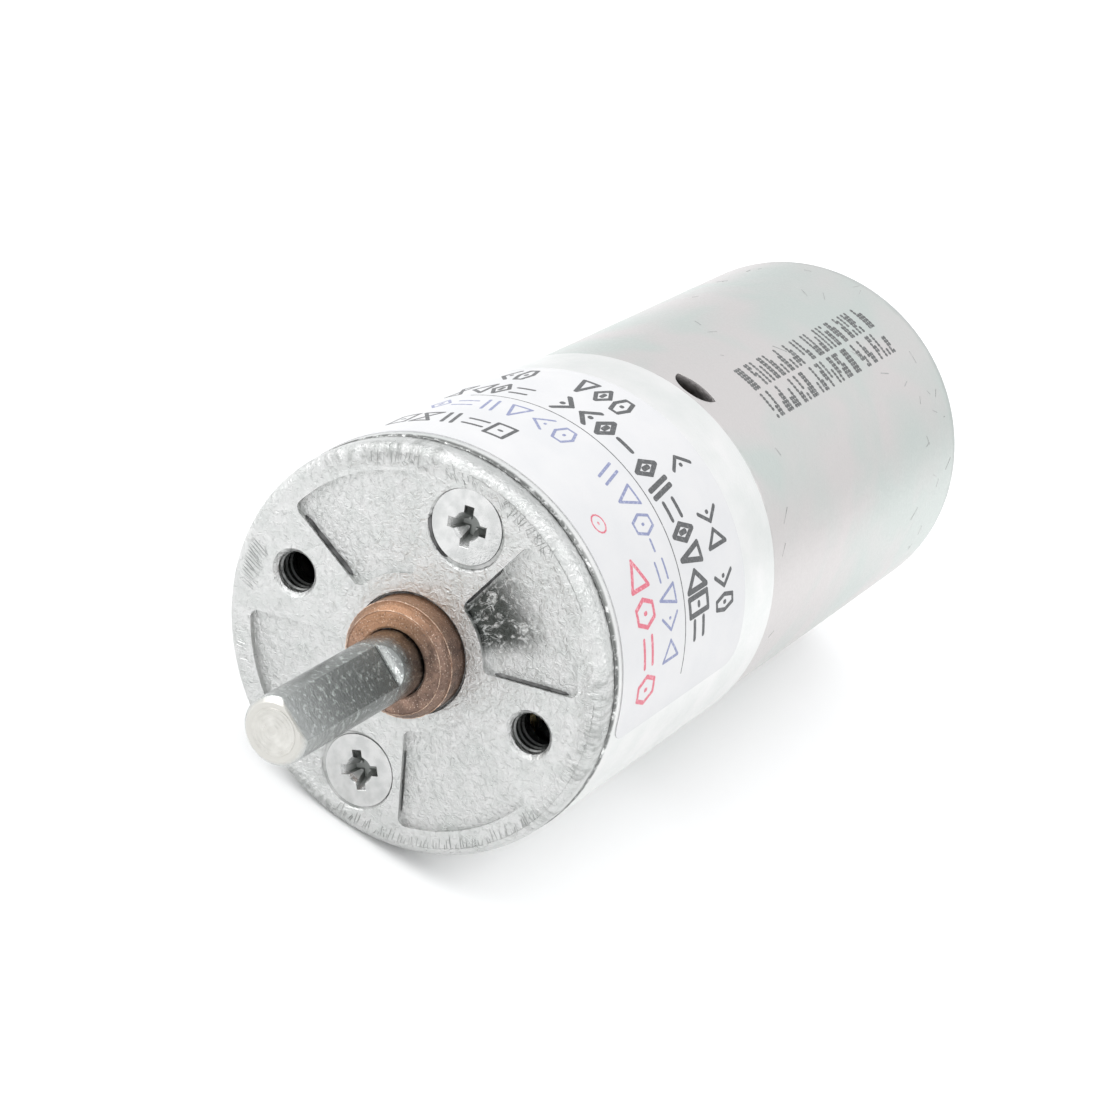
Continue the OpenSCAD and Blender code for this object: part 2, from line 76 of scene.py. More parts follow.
class Shader:
    """A Principled material, with short calls for the nodes that make its detail."""

    def __init__(self, name, base, metallic=0.0, roughness=0.5):
        self.material = bpy.data.materials.new(name)
        self.material.use_nodes = True
        self.tree = self.material.node_tree
        self.shader = self.tree.nodes["Principled BSDF"]
        self.shader.inputs["Base Color"].default_value = (*base, 1)
        self.shader.inputs["Metallic"].default_value = metallic
        self.shader.inputs["Roughness"].default_value = roughness
        self.height = None
        coords = self.add("ShaderNodeTexCoord")
        scale = self.add("ShaderNodeVectorMath", operation="SCALE")
        scale.inputs["Scale"].default_value = 1 / MM
        self.link(coords.outputs["Object"], scale.inputs[0])
        self.mm = scale.outputs[0]
        self.parts = None

    def add(self, kind, **settings):
        node = self.tree.nodes.new(kind)
        for key, value in settings.items():
            setattr(node, key, value)
        return node

    def link(self, source, target):
        self.tree.links.new(source, target)

    def put(self, value, target):
        """Connects a socket, or sets a number."""
        if hasattr(value, "is_linked"):
            self.link(value, target)
        else:
            target.default_value = value

    def math(self, operation, a, b=0.0, c=0.0):
        node = self.add("ShaderNodeMath", operation=operation)
        for value, target in zip((a, b, c), node.inputs):
            self.put(value, target)
        return node.outputs[0]

    def polar(self):
        """Sockets for (distance from the shaft's axis, angle in radians, depth y), in mm."""
        if self.parts is None:
            split = self.add("ShaderNodeSeparateXYZ")
            self.link(self.mm, split.inputs[0])
            x, y, z = split.outputs
            squares = self.math("ADD", self.math("MULTIPLY", x, x), self.math("MULTIPLY", z, z))
            radius = self.math("SQRT", squares)
            self.parts = (radius, self.math("ARCTAN2", z, x), y)
        return self.parts

    def vector(self, x, y, z):
        node = self.add("ShaderNodeCombineXYZ")
        for value, target in zip((x, y, z), node.inputs):
            self.put(value, target)
        return node.outputs[0]

    def noise(self, per_mm, detail=3.0, roughness=0.55, distortion=0.0, at=None):
        node = self.add("ShaderNodeTexNoise")
        node.inputs["Scale"].default_value = per_mm
        node.inputs["Detail"].default_value = detail
        node.inputs["Roughness"].default_value = roughness
        node.inputs["Distortion"].default_value = distortion
        self.link(self.mm if at is None else at, node.inputs["Vector"])
        return node.outputs["Fac"]

    def cells(self, per_mm):
        node = self.add("ShaderNodeTexVoronoi")
        node.inputs["Scale"].default_value = per_mm
        self.link(self.mm, node.inputs["Vector"])
        return node.outputs["Distance"]

    def span(self, value, low, high, to_low=0.0, to_high=1.0, smooth=False):
        """Maps low..high onto to_low..to_high, and holds the ends."""
        node = self.add("ShaderNodeMapRange", clamp=True)
        node.interpolation_type = "SMOOTHSTEP" if smooth else "LINEAR"
        for key, number in zip(("Value", "From Min", "From Max", "To Min", "To Max"),
                               (value, low, high, to_low, to_high)):
            self.put(number, node.inputs[key])
        return node.outputs["Result"]

    def mix(self, share, a, b):
        """Blends two colours, each a socket or three numbers."""
        node = self.add("ShaderNodeMix", data_type="RGBA")
        self.put(share, node.inputs["Factor"])
        for value, target in ((a, node.inputs[6]), (b, node.inputs[7])):
            if hasattr(value, "is_linked"):
                self.link(value, target)
            else:
                target.default_value = (*value, 1)
        return node.outputs[2]

    def color(self, socket):
        self.link(socket, self.shader.inputs["Base Color"])

    def rough(self, socket):
        self.link(socket, self.shader.inputs["Roughness"])

    def bump(self, socket, depth_mm, strength=1.0):
        """Adds a height in front of those given before."""
        node = self.add("ShaderNodeBump")
        node.inputs["Strength"].default_value = strength
        node.inputs["Distance"].default_value = depth_mm * MM
        self.link(socket, node.inputs["Height"])
        if self.height is not None:
            self.link(self.height, node.inputs["Normal"])
        self.height = node.outputs["Normal"]
        self.link(self.height, self.shader.inputs["Normal"])


def cast_zinc():
    """The plated die casting: wormy grain, comb marks out at the rim, a painted reflection in
    one pocket, grime with painted shade in the seam, and painted shade down the holes.
    """
    s = Shader("cast_zinc", (0.54, 0.545, 0.54), metallic=1.0)
    radius, angle, depth = s.polar()
    worms = s.noise(2.6, detail=5.0, roughness=0.62, distortion=1.2)
    grain = s.noise(9.0, detail=4.0, roughness=0.65)
    blotch = s.noise(0.8, detail=3.0)
    pits = s.cells(2.0)
    flow = s.noise(1.0, detail=4.0, roughness=0.6, at=s.vector(
        s.math("MULTIPLY", angle, 34.0), s.math("MULTIPLY", radius, 0.8), depth))
    near_rim = s.span(radius, 10.9, 11.7, smooth=True)
    patch = s.span(s.noise(0.15, detail=1.0), 0.42, 0.55)
    comb = s.math("MULTIPLY", flow, s.math("MULTIPLY", near_rim, patch))
    body = s.mix(s.span(blotch, 0.35, 0.65), (0.56, 0.57, 0.56), (0.63, 0.63, 0.625))
    body = s.mix(s.span(worms, 0.56, 0.70, 0.0, 0.6), body, (0.33, 0.34, 0.33))
    body = s.mix(s.math("MULTIPLY", s.span(comb, 0.45, 0.62), 0.5), body, (0.25, 0.26, 0.25))
    # A dark mottled patch in the pocket beside the flat, streaked out from the bush: a painted
    # reflection
    streak = s.noise(1.0, detail=5.0, roughness=0.7, distortion=0.8, at=s.vector(
        s.math("MULTIPLY", angle, 16.0), s.math("MULTIPLY", radius, 1.6), depth))
    beside = s.math("MULTIPLY", s.span(angle, 0.50, 0.74, smooth=True),
                    s.span(angle, 1.24, 1.16, smooth=True))
    beside = s.math("MULTIPLY", beside, s.math("MULTIPLY", s.span(radius, 9.9, 6.6, smooth=True),
                                              s.span(depth, 0.1, 0.3)))
    painted_reflection = s.math("MULTIPLY", beside, s.span(streak, 0.36, 0.50))
    body = s.mix(painted_reflection, body, (0.07, 0.075, 0.07))
    # Grime with painted shade in the seam, and painted shade down in the holes
    seam = s.math("MULTIPLY", s.span(depth, 1.05, 1.4, smooth=True), s.span(radius, 11.9, 12.2))
    ragged = s.span(s.noise(1.6, detail=5.0, roughness=0.7), 0.38, 0.54)
    down = s.span(depth, 0.38, 0.7)
    grime_and_shade = s.math("MAXIMUM", s.math("MULTIPLY", seam, ragged),
                   s.math("MULTIPLY", down, s.span(radius, 11.6, 11.4)))
    s.color(s.mix(grime_and_shade, body, (0.10, 0.105, 0.10)))
    s.rough(s.math("ADD", s.span(blotch, 0.3, 0.7, 0.26, 0.40), s.math("MULTIPLY", grime_and_shade, 0.15)))
    s.bump(comb, 0.26, strength=0.9)
    s.bump(worms, 0.2, strength=0.7)
    s.bump(grain, 0.025, strength=0.5)
    s.bump(s.span(pits, 0.0, 0.14), 0.03, strength=0.35)
    return s.material


def case_zinc():
    """The turned outside of the gear case: smoother, with fine marks round it."""
    s = Shader("case_zinc", (0.66, 0.665, 0.66), metallic=1.0)
    _, angle, depth = s.polar()
    rings = s.noise(1.0, detail=3.0, at=s.vector(
        s.math("MULTIPLY", angle, 2.0), s.math("MULTIPLY", depth, 9.0), 0.0))
    grain = s.noise(4.0, detail=4.0, roughness=0.6)
    blotch = s.noise(0.35, detail=2.0)
    body = s.mix(s.span(blotch, 0.35, 0.65), (0.71, 0.72, 0.71), (0.77, 0.765, 0.76))
    # Darker at its front edge by the seam: grime with painted shade
    seam = s.span(depth, 1.95, 1.65, smooth=True)
    ragged = s.span(s.noise(1.8, detail=5.0, roughness=0.7), 0.36, 0.5)
    s.color(s.mix(s.math("MULTIPLY", seam, ragged), body, (0.16, 0.165, 0.16)))
    s.rough(s.span(grain, 0.3, 0.7, 0.32, 0.45))
    s.bump(rings, 0.02, strength=0.35)
    s.bump(grain, 0.03, strength=0.4)
    return s.material


def plated_can():
    """Satin zinc plate on drawn steel, with faint tints and a few scuffs."""
    s = Shader("plated_can", (0.60, 0.61, 0.60), metallic=1.0)
    radius, angle, depth = s.polar()
    tint = s.noise(0.12, detail=2.0, distortion=0.4)
    grain = s.noise(6.0, detail=4.0, roughness=0.6)
    draw_marks = s.noise(1.0, detail=3.0, at=s.vector(
        s.math("MULTIPLY", angle, 30.0), s.math("MULTIPLY", depth, 0.25), 0.0))
    scuffs = s.span(s.noise(1.0, detail=5.0, roughness=0.7, at=s.vector(
        s.math("MULTIPLY", angle, 9.0), s.math("MULTIPLY", depth, 1.6), radius)), 0.66, 0.74)
    plate = s.mix(s.span(tint, 0.4, 0.6), (0.53, 0.565, 0.545), (0.59, 0.565, 0.56))
    plate = s.mix(s.math("MULTIPLY", scuffs, 0.35), plate, (0.42, 0.44, 0.43))
    # Darker toward the rear edge, and painted shade where it meets the case
    wander = s.math("MULTIPLY", s.noise(0.9, detail=4.0), 0.9)
    rear = s.span(s.math("ADD", depth, wander), CAN_BACK / MM - 1.0, CAN_BACK / MM - 0.1)
    joint = s.span(s.math("ADD", depth, wander), CASE_BACK + 1.1, CASE_BACK + 0.5)
    plate = s.mix(s.math("MULTIPLY", rear, 0.65), plate, (0.34, 0.35, 0.345))
    s.color(s.mix(s.math("MULTIPLY", joint, 0.7), plate, (0.26, 0.27, 0.265)))
    s.rough(s.span(grain, 0.3, 0.7, 0.30, 0.44))
    s.bump(draw_marks, 0.03, strength=0.3)
    s.bump(s.noise(0.7, detail=4.0, roughness=0.6), 0.12, strength=0.35)
    s.bump(grain, 0.03, strength=0.5)
    return s.material


def sintered_bronze():
    """Pressed bronze powder: brown, open pores, bright crumbs and turning rings."""
    s = Shader("sintered_bronze", (0.25, 0.185, 0.15), metallic=0.85)
    radius, angle, depth = s.polar()
    pores = s.noise(9.0, detail=4.0, roughness=0.7)
    crumbs = s.cells(7.0)
    patina = s.noise(1.1, detail=4.0, distortion=0.5)
    rings = s.noise(1.0, detail=2.0, at=s.vector(
        s.math("MULTIPLY", radius, 5.0), s.math("MULTIPLY", angle, 0.8),
        s.math("MULTIPLY", depth, 5.0)))
    # Warmer in tone on the side below the shaft
    side = s.span(s.math("COSINE", s.math("ADD", angle, 0.9)), -0.2, -1.0)
    body = s.mix(s.span(patina, 0.35, 0.65), (0.15, 0.10, 0.08), (0.32, 0.21, 0.16))
    body = s.mix(s.math("MULTIPLY", side, 0.75), body, (0.46, 0.25, 0.14))
    body = s.mix(s.span(pores, 0.54, 0.7, 0.0, 0.85), body, (0.07, 0.05, 0.04))
    s.color(s.mix(s.span(crumbs, 0.24, 0.10, 0.0, 0.9), body, (0.74, 0.60, 0.50)))
    s.rough(s.span(pores, 0.3, 0.7, 0.24, 0.5))
    s.bump(rings, 0.06, strength=0.5)
    s.bump(pores, 0.06, strength=0.8)
    return s.material


def ground_steel():
    """Shaft steel: ground round, milled on the flat, with turning rings on the end."""
    s = Shader("ground_steel", (0.35, 0.355, 0.35), metallic=1.0)
    _, angle, depth = s.polar()
    grinding = s.noise(1.0, detail=3.0, at=s.vector(
        s.math("MULTIPLY", depth, 18.0), s.math("MULTIPLY", angle, 0.7), 0.0))
    speckle = s.noise(4.5, detail=4.0, roughness=0.7)
    flecks = s.span(s.noise(3.2, detail=3.0, roughness=0.6), 0.54, 0.66)
    end = s.span(depth, SHAFT_TIP / MM + 0.32, SHAFT_TIP / MM + 0.06)
    body = s.mix(s.math("MULTIPLY", flecks, 0.75), (0.27, 0.28, 0.275), (0.66, 0.70, 0.68))
    # Lighter toward the tip: painted light
    painted_light_to_tip = s.span(s.math("ADD", depth, s.noise(0.9, detail=2.0)), -9.5, -13.5, 0.0, 0.55)
    body = s.mix(painted_light_to_tip, body, (0.52, 0.535, 0.53))
    s.color(s.mix(end, body, (0.53, 0.52, 0.49)))
    s.rough(s.math("MULTIPLY_ADD", end, 0.16, s.span(speckle, 0.3, 0.7, 0.14, 0.28)))
    s.bump(grinding, 0.02, strength=0.3)
    s.bump(speckle, 0.05, strength=0.6)
    return s.material


def plain_metal(name, low, high, roughness, per_mm=3.0, depth_mm=0.02):
    """Oiled or plated small metal parts: two close colours, fine grain, worn patches."""
    s = Shader(name, low, metallic=1.0)
    grain = s.noise(per_mm, detail=4.0, roughness=0.6)
    wear = s.noise(per_mm * 0.25, detail=3.0)
    s.color(s.mix(s.span(wear, 0.35, 0.65), low, high))
    s.rough(s.span(grain, 0.3, 0.7, roughness * 0.8, roughness * 1.25))
    s.bump(grain, depth_mm, strength=0.4)
    return s.material


def screw_zinc():
    """Bright plated screw, rougher down in the recess and darkened there with painted shade."""
    s = Shader("screw_zinc", (0.66, 0.66, 0.65), metallic=1.0)
    depth = s.polar()[2]
    grain = s.noise(5.0, detail=4.0)
    blotch = s.noise(1.2, detail=2.0)
    deep = s.span(depth, 0.2, 0.9)
    plate = s.mix(s.span(blotch, 0.4, 0.62), (0.60, 0.60, 0.595), (0.50, 0.505, 0.50))
    s.color(s.mix(deep, plate, (0.24, 0.25, 0.24)))
    s.rough(s.span(deep, 0.0, 1.0, 0.24, 0.5))
    s.bump(grain, 0.03, strength=0.45)
    return s.material


def thread_zinc():
    """Cut thread: bright at the mouth of its hole and lost in the dark further in."""
    s = Shader("thread_zinc", (0.4, 0.4, 0.4), metallic=1.0)
    depth = s.polar()[2]
    grain = s.noise(4.0, detail=4.0)
    bright = s.mix(s.span(grain, 0.35, 0.65), (0.20, 0.205, 0.20), (0.40, 0.405, 0.40))
    s.color(s.mix(s.span(depth, 0.38, 0.85), bright, (0.035, 0.036, 0.035)))
    s.rough(s.span(grain, 0.3, 0.7, 0.25, 0.4))
    s.bump(grain, 0.03, strength=0.5)
    return s.material


def moulded(name, low, high, roughness, per_mm=2.0):
    """Plastic, fibre, ceramic or carbon: mottled, with a fine grain."""
    s = Shader(name, low)
    grain = s.noise(per_mm * 3, detail=4.0, roughness=0.6)
    s.color(s.mix(s.span(s.noise(per_mm, detail=2.0), 0.35, 0.65), low, high))
    s.rough(s.span(grain, 0.3, 0.7, roughness * 0.85, roughness * 1.15))
    s.bump(grain, 0.02, strength=0.4)
    return s.material


def stacked_core():
    """Thin steel plates, seen edge on as fine lines."""
    s = Shader("stacked_core", (0.36, 0.37, 0.40), metallic=1.0, roughness=0.42)
    depth = s.polar()[2]
    edges = s.math("ABSOLUTE", s.math("SINE", s.math("MULTIPLY", depth, math.pi / 0.5)))
    line = s.span(edges, 0.0, 0.25)
    s.color(s.mix(line, (0.12, 0.12, 0.13), (0.42, 0.43, 0.46)))
    s.bump(line, 0.04, strength=0.7)
    s.bump(s.noise(5.0, detail=3.0), 0.02, strength=0.3)
    return s.material


def copper_wire():
    """Enamelled wire, wound side by side."""
    s = Shader("copper_wire", (0.55, 0.24, 0.10), metallic=1.0, roughness=0.28)
    radius = s.polar()[0]
    strands = s.math("ABSOLUTE", s.math("SINE", s.math("MULTIPLY", radius, math.pi / 0.28)))
    s.color(s.mix(s.span(s.noise(2.5), 0.35, 0.65), (0.50, 0.20, 0.08), (0.72, 0.36, 0.16)))
    s.bump(strands, 0.12, strength=0.9)
    return s.material


def label_paper():
    """White coated paper with a faint fibre."""
    s = Shader("label_paper", (0.72, 0.72, 0.725), roughness=0.42)
    fibre = s.noise(7.0, detail=4.0, roughness=0.65)
    shade = s.span(s.noise(0.3, detail=2.0), 0.35, 0.65)
    s.color(s.mix(shade, (0.565, 0.565, 0.575), (0.595, 0.59, 0.595)))
    s.rough(s.span(fibre, 0.3, 0.7, 0.34, 0.46))
    s.bump(fibre, 0.01, strength=0.4)
    return s.material


def ink(name, dark, light, holes=0.62):
    """Printed ink, a little patchy."""
    s = Shader(name, dark, roughness=0.45)
    s.color(s.mix(s.span(s.noise(6.0, detail=3.0), holes - 0.1, holes + 0.1), dark, light))
    s.rough(s.span(s.noise(3.0), 0.3, 0.7, 0.38, 0.55))
    return s.material


MATERIALS = {
    "cast_zinc": cast_zinc(),
    "case_zinc": case_zinc(),
    "plated_can": plated_can(),
    "sintered_bronze": sintered_bronze(),
    "ground_steel": ground_steel(),
    "screw_zinc": screw_zinc(),
    "gear_steel": plain_metal("gear_steel", (0.45, 0.45, 0.44), (0.62, 0.62, 0.60), 0.32),
    "spring_steel": plain_metal("spring_steel", (0.42, 0.43, 0.45), (0.55, 0.56, 0.58), 0.3),
    "brass": plain_metal("brass", (0.70, 0.52, 0.25), (0.86, 0.70, 0.38), 0.28),
    "copper_bar": plain_metal("copper_bar", (0.66, 0.34, 0.20), (0.82, 0.50, 0.34), 0.25,
                              per_mm=5.0),
    "spring_bronze": plain_metal("spring_bronze", (0.62, 0.42, 0.24), (0.78, 0.58, 0.36), 0.3),
    "tinned_brass": plain_metal("tinned_brass", (0.70, 0.67, 0.60), (0.84, 0.82, 0.78), 0.3,
                                per_mm=4.0),
    "ferrite": moulded("ferrite", (0.055, 0.055, 0.06), (0.10, 0.10, 0.105), 0.6),
    "insulator": moulded("insulator", (0.05, 0.24, 0.13), (0.09, 0.34, 0.20), 0.5),
    "phenolic": moulded("phenolic", (0.20, 0.09, 0.04), (0.30, 0.15, 0.08), 0.4),
    "ceramic_dark": moulded("ceramic_dark", (0.06, 0.085, 0.085), (0.11, 0.14, 0.14), 0.5),
    "nylon": moulded("nylon", (0.80, 0.80, 0.75), (0.88, 0.88, 0.84), 0.42),
    "carbon": moulded("carbon", (0.02, 0.02, 0.022), (0.06, 0.05, 0.045), 0.55),
    "stacked_core": stacked_core(),
    "copper_wire": copper_wire(),
    "label_paper": label_paper(),
    "red_ink": ink("red_ink", (0.56, 0.12, 0.17), (0.70, 0.36, 0.40)),
    "blue_ink": ink("blue_ink", (0.20, 0.22, 0.36), (0.40, 0.42, 0.54)),
    "black_ink": ink("black_ink", (0.06, 0.062, 0.065), (0.16, 0.16, 0.165)),
    "dull_zinc": plain_metal("dull_zinc", (0.28, 0.29, 0.28), (0.50, 0.50, 0.495), 0.36),
    "crumbled_bronze": plain_metal("crumbled_bronze", (0.34, 0.21, 0.15), (0.86, 0.66, 0.52),
                                   0.36, per_mm=6.0),
    "thread_zinc": thread_zinc(),
    "turned_end": plain_metal("turned_end", (0.50, 0.49, 0.46), (0.58, 0.57, 0.54), 0.32,
                              per_mm=6.0),
    # Near-black for painted shade in a screw gap and painted shade and reflection lines on
    # pocket walls
    "painted_darkness": plain_metal("painted_darkness", (0.05, 0.05, 0.05), (0.16, 0.16, 0.16), 0.5,
                              per_mm=5.0),
    # Dark grey for rings where parts meet: grime with painted shade
    "grime_and_shade": plain_metal("grime_and_shade", (0.12, 0.12, 0.12), (0.42, 0.425, 0.42), 0.55, per_mm=4.0),
    "marking_ink": ink("marking_ink", (0.07, 0.072, 0.072), (0.24, 0.245, 0.245), holes=0.6),
}

# Material and edge rounding (mm) of every CAD node
CAD_LOOKS = {
    "front_plate": ("cast_zinc", 0.06),
    "gear_case": ("case_zinc", 0.08),
    "output_bush": ("sintered_bronze", 0.16),
    "output_shaft": ("ground_steel", 0.04),
    "thrust_washer": ("gear_steel", 0.04),
    "output_gear": ("gear_steel", 0.0),
    "gear_pins": ("gear_steel", 0.1),
    "pin_spacers": ("brass", 0.05),
    "cover_screws": ("screw_zinc", 0.03),
    "motor_screws": ("screw_zinc", 0.03),
    "motor_pinion": ("brass", 0.0),
    "motor_can": ("plated_can", 0.05),
    "field_magnets": ("ferrite", 0.15),
    "magnet_springs": ("spring_steel", 0.05),
    "front_bearing": ("sintered_bronze", 0.08),
    "motor_shaft": ("gear_steel", 0.12),
    "armature_core": ("stacked_core", 0.04),
    "armature_insulators": ("insulator", 0.04),
    "armature_windings": ("copper_wire", 0.35),
    "commutator_hub": ("phenolic", 0.08),
    "commutator_segments": ("copper_bar", 0.04),
    "varistor_ring": ("ceramic_dark", 0.12),
    "rotor_washers": ("nylon", 0.05),
    "brush_holder": ("nylon", 0.12),
    "brush_springs": ("spring_bronze", 0.04),
    "carbon_brushes": ("carbon", 0.1),
    "terminals": ("tinned_brass", 0.05),
    "rear_bearing": ("sintered_bronze", 0.08),
    "end_plate": ("plated_can", 0.08),
    "ratings_label": ("label_paper", 0.0),
}
for i in range(1, 6):
    CAD_LOOKS[f"reduction_gear_{i}"] = ("gear_steel", 0.0)


def dress(node, material, rounding):
    """Gives a CAD node its material, and rounds its edges with modifiers."""
    piece = NODES[node]
    piece.data.materials.clear()
    piece.data.materials.append(MATERIALS[material])
    weld = piece.modifiers.new("weld", "WELD")
    weld.merge_threshold = 0.001 * MM
    if rounding:
        bevel = piece.modifiers.new("round_edges", "BEVEL")
        bevel.width = rounding * MM
        bevel.segments = 2
        bevel.limit_method = "ANGLE"
        bevel.angle_limit = math.radians(32)
        bevel.miter_outer = "MITER_ARC"
        bevel.use_clamp_overlap = True
    normals = piece.modifiers.new("normals", "WEIGHTED_NORMAL")
    normals.keep_sharp = True
    normals.weight = 60


for node, (material, rounding) in CAD_LOOKS.items():
    dress(node, material, rounding)


# ---------------------------------------------------------------- added pieces

WHOLE_TURN = 2 * math.pi
RIM_LINE = 11.8            # radius (mm) where the mounting face turns over into its rim
SEAM = 1.5                 # depth (mm) of the seam between the front plate and the case
LABEL_ENDS = (5.4, 174.6)  # where the label starts and stops, in degrees about the shaft
LABEL_CORNER = 1.3
SCUFFS = 70
SCREW_SCRATCHES = 60
CAN_ROWS = (66.0, 76.6)    # angles where the two rows of dots on the can start
CAN_ROW_START = 30.3
CAN_CELLS = 14


def around(count):
    """Angles in radians, evenly spaced round a whole turn."""
    return [WHOLE_TURN * n / count for n in range(count)]


def on_round(radius, degrees, depth):
    """A point (mm) given about the shaft: radius, angle from +X toward +Z, depth y."""
    a = math.radians(degrees)
    return Vector((radius * math.cos(a), depth, radius * math.sin(a))) * MM


def new_piece(name, build, material, body="housing", smooth=False):
    """Turns a bmesh into an object with one material, and gives it to a moving body."""
    bmesh.ops.recalc_face_normals(build, faces=build.faces)
    mesh = bpy.data.meshes.new(name)
    build.to_mesh(mesh)
    build.free()
    for face in mesh.polygons:
        face.use_smooth = smooth
    mesh.materials.append(MATERIALS[material])
    piece = bpy.data.objects.new(name, mesh)
    bpy.context.scene.collection.objects.link(piece)
    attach(piece, body)
    return piece


def loft(build, rings):
    """Joins equal rings of points into a skin, with the two ends filled."""
    rows = [[build.verts.new(p) for p in ring] for ring in rings]
    count = len(rows[0])
    for a, b in zip(rows, rows[1:]):
        for i in range(count):
            j = (i + 1) % count
            build.faces.new((a[i], a[j], b[j], b[i]))
    build.faces.new(rows[0][::-1])
    build.faces.new(rows[-1])


def label_sheet():
    """The paper label: a curved sheet with rounded corners and a real thickness."""
    first, last = LABEL_ENDS
    front, back, corner = LABEL_FRONT / MM, LABEL_BACK / MM, LABEL_CORNER
    inner, outer = LABEL_R / MM - 0.055, LABEL_R / MM
    per_mm = math.degrees(1 / outer)
    build = bmesh.new()
    steps = [0, 0.05, 0.15, 0.35, 0.65, 1]
    ends = [corner * t for t in steps]
    arc = (last - first) / per_mm
    spots = ends + [corner + (arc - 2 * corner) * k / 96 for k in range(1, 96)]
    spots += [arc - e for e in reversed(ends)]
    rings = []
    for at in spots:
        side = min(at, arc - at)
        inset = 0.0
        if side < corner:
            inset = corner - math.sqrt(max(corner ** 2 - (corner - side) ** 2, 1e-6))
        degrees = first + at * per_mm
        rings.append([on_round(radius, degrees, depth) for radius, depth in (
            (inner, front + inset), (outer, front + inset),
            (outer, back - inset), (inner, back - inset))])
    loft(build, rings)
    sheet = new_piece("label_sheet", build, "label_paper")
    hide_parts("ratings_label")


label_sheet()

INK_IN, INK_OUT = LABEL_R / MM - 0.004, LABEL_R / MM + 0.006
PRINT_DRIFT = 0.045      # the print climbs this much along the label


def stroke(build, start, end, width, low=INK_IN, high=INK_OUT):
    """A printed stroke on a round surface, between (arc length, depth) points in mm."""
    run = Vector(end) - Vector(start)
    length = run.length
    along = run.normalized() if length else Vector((1, 0))
    across = Vector((-along.y, along.x)) * width / 2
    cuts = max(1, math.ceil(length / 0.8))
    stops = [(-width * 0.5, 0.45), (-width * 0.25, 0.9)]
    stops += [(length * k / cuts, 1.0) for k in range(cuts + 1)]
    stops += [(length + width * 0.25, 0.9), (length + width * 0.5, 0.45)]
    rings = []
    for at, share in stops:
        mid = Vector(start) + along * at
        a, b = mid + across * share, mid - across * share
        ring = []
        for point, radius in ((a, low), (a, high), (b, high), (b, low)):
            degrees = math.degrees(point.x / high)
            ring.append(on_round(radius, degrees, point.y))
        rings.append(ring)
    loft(build, rings)


# Abstract marks in a unit cell, as runs of points: nothing here is a letter or a number
CHEVRON = [(0.9, 0.0), (0.15, 0.5), (0.9, 1.0)]
CHEVRON_BACK = [(1 - x, 1 - y) for x, y in CHEVRON]
MARKS = [
    [[(0.5, 0.0), (1.0, 0.5), (0.5, 1.0), (0.0, 0.5), (0.5, 0.0)], [(0.5, 0.38), (0.5, 0.62)]],
    [[(0.1, 0.0), (0.4, 1.0)], [(0.6, 0.0), (0.9, 1.0)]],
    [[(0.0, 1.0), (0.5, 0.0), (1.0, 1.0), (0.0, 1.0)]],
    [CHEVRON, [(0.78, 0.48), (0.78, 0.52)]],
    [CHEVRON_BACK, [(0.22, 0.48), (0.22, 0.52)]],
    [[(0.0, 0.0), (1.0, 0.0), (0.0, 1.0), (1.0, 1.0), (0.0, 0.0)]],
    [[(0.0, 0.0), (1.0, 0.0), (1.0, 1.0), (0.0, 1.0), (0.0, 0.0)], [(0.45, 0.5), (0.55, 0.5)]],
    [[(0.25, 0.0), (0.75, 0.0), (1.0, 0.5), (0.75, 1.0), (0.25, 1.0), (0.0, 0.5), (0.25, 0.0)],
     [(0.5, 0.47), (0.5, 0.53)]],
    [[(0.0, 0.0), (1.0, 0.5), (0.0, 1.0), (0.0, 0.0)]],
    [[(0.0, 0.25), (1.0, 0.25)], [(0.0, 0.75), (1.0, 0.75)]],
]


def print_row(build, chance, first, last, top, bottom, count, width, fill=0.72):
    """A row of marks between two angles, their tops toward the front."""
    cell = math.radians(last - first) * INK_OUT / count
    before = None
    for k in range(count):
        left = math.radians(first) * INK_OUT + cell * k
        before = chance.choice([m for m in range(len(MARKS)) if m != before])
        for run in MARKS[before]:
            spots = [(left + x * cell * fill, top + y * (bottom - top) + PRINT_DRIFT * left)
                     for x, y in run]
            for a, b in zip(spots, spots[1:]):
                stroke(build, a, b, width)


def dash(build, first, last, depth, width):
    s0, s1 = (math.radians(a) * INK_OUT for a in (first, last))
    stroke(build, (s0, depth + PRINT_DRIFT * s0), (s1, depth + PRINT_DRIFT * s1), width)


